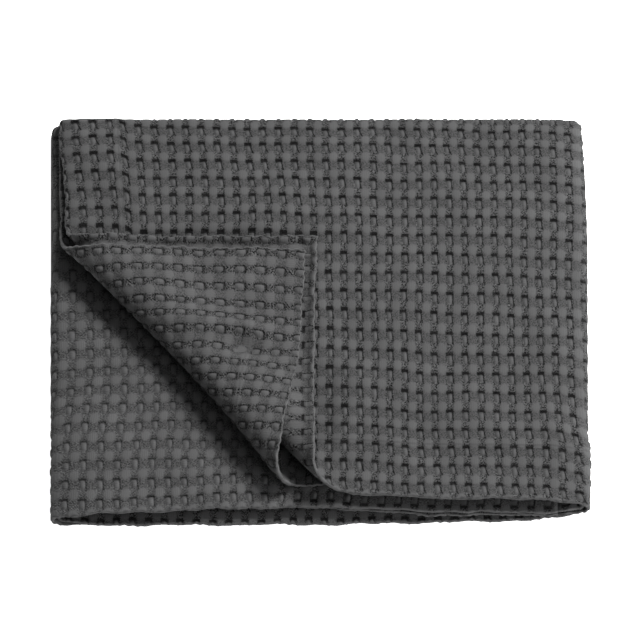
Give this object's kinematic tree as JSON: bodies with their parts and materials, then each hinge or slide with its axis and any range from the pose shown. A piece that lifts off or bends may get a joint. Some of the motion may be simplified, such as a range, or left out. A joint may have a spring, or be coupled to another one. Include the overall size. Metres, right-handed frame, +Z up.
{
  "type": "waffle weave cotton blanket",
  "caption": "Thin waffle weave cotton blanket, doubled over, folded in three into a flat pack, with one corner of its top panel turned back.",
  "frame": {"origin": "on the surface that the folded blanket lies on, under the middle of its box", "axes": "+Z up, +X along the folded pack from its turned-back corner, -Y towards its open front edges, +Y towards its back fold"},
  "size_m": [0.5072, 0.4052, 0.0605],
  "materials": {
    "charcoal_cotton": "matte waffle weave"
  },
  "bodies": {
    "root": {"blanket": "charcoal_cotton"}
  },
  "joints": []
}
